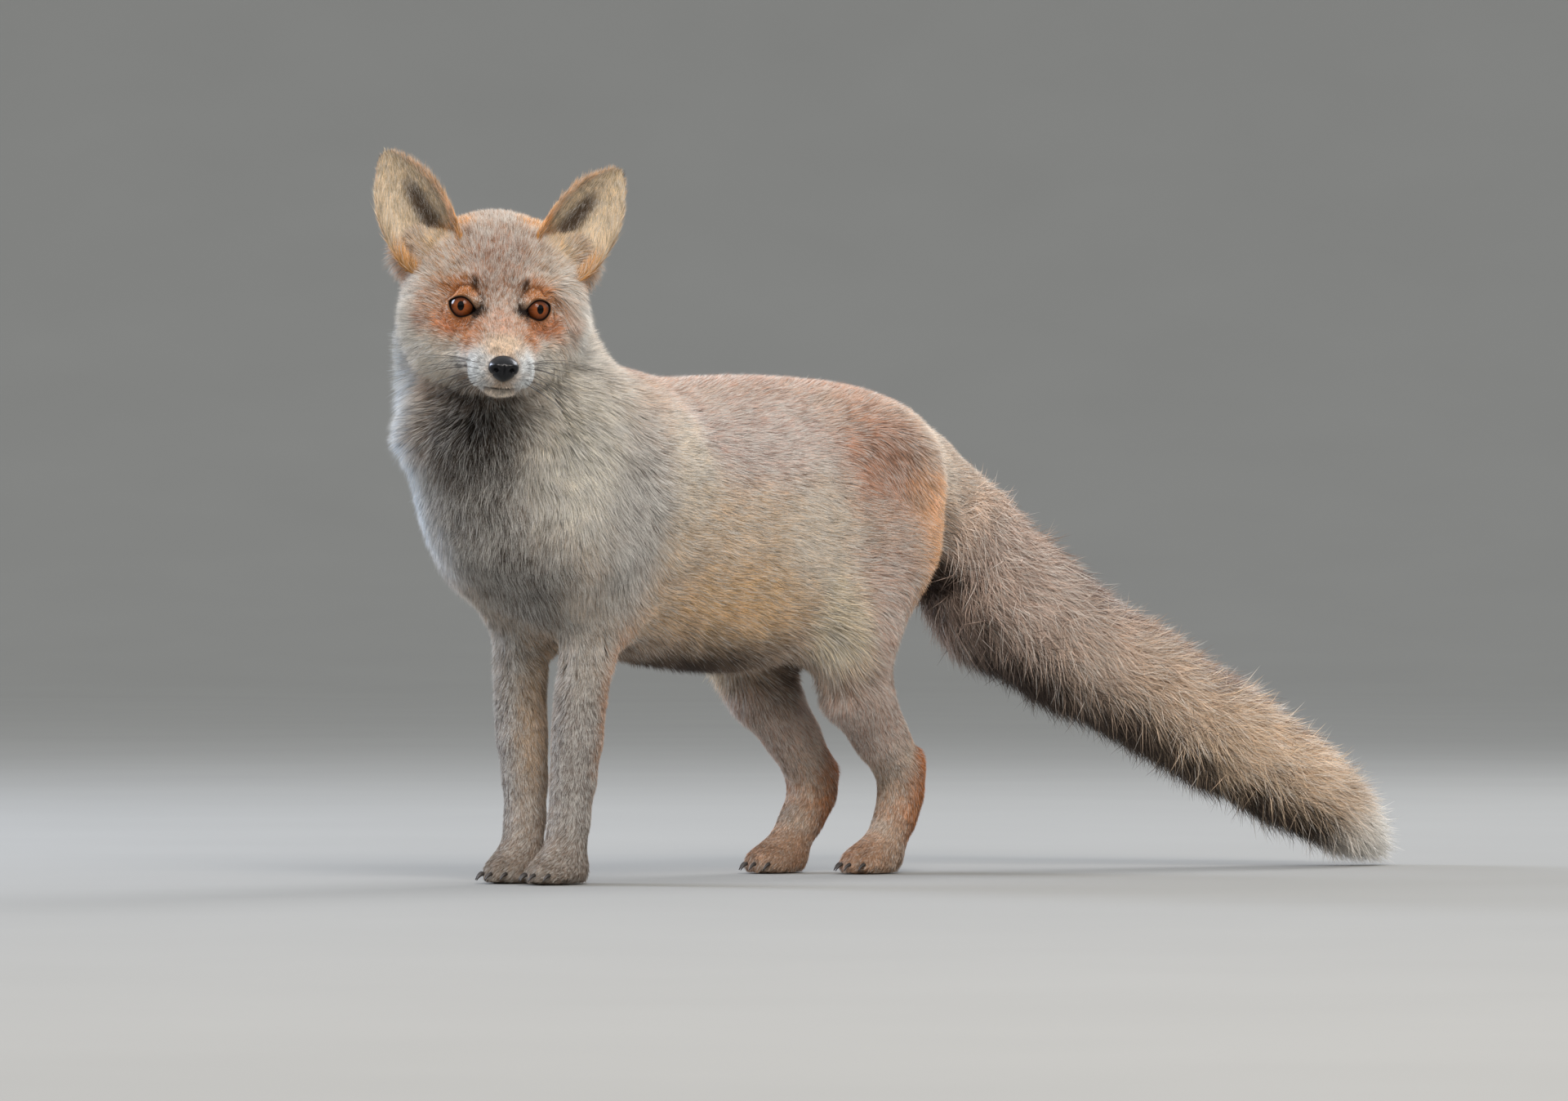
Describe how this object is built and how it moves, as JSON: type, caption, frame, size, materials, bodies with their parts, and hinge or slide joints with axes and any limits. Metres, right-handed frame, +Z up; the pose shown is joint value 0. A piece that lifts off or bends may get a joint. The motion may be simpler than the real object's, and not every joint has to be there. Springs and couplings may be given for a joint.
{
  "type": "red fox, still life-size model",
  "caption": "Life-size red fox standing square, head raised and turned to its left, brush hanging low behind and swung to its left, in a frosted grey and russet coat",
  "frame": {"origin": "on the floor, below the middle of the whole fox's length and breadth from nose to tail tip", "axes": "+Z up; the fox's trunk lies along Y with its head end towards -Y; its left side is +X"},
  "size_m": [0.2872, 0.8881, 0.5319],
  "materials": {
    "frosted_coat": "matte short and long hair, russet with pale tips",
    "grey_coat": "matte grizzled grey hair of the face and ruff",
    "rust_coat": "matte short hair, rust and grey",
    "slate_coat": "matte short hair, slate grey speckled with white",
    "brush_coat": "matte long taupe hair, black below",
    "pale_coat": "matte short white hair",
    "ear_coat": "matte short buff hair",
    "nose_leather": "damp, finely pebbled",
    "eye_glass": "clear and glossy over an amber iris"
  },
  "bodies": {
    "root": {"ear_left": "ear_coat", "ear_right": "ear_coat", "eye_left": "eye_glass", "eye_right": "eye_glass", "foreleg_left": "slate_coat", "foreleg_right": "slate_coat", "forepaw_left": "slate_coat", "forepaw_right": "slate_coat", "head": "grey_coat", "hind_foot_left": "rust_coat", "hind_foot_right": "rust_coat", "lower_jaw": "pale_coat", "muzzle": "grey_coat", "neck": "grey_coat", "nose": "nose_leather", "shank_left": "rust_coat", "shank_right": "rust_coat", "tail_middle": "brush_coat", "tail_root": "brush_coat", "tail_tip": "brush_coat", "thigh_left": "frosted_coat", "thigh_right": "frosted_coat", "trunk": "frosted_coat"}
  },
  "joints": []
}
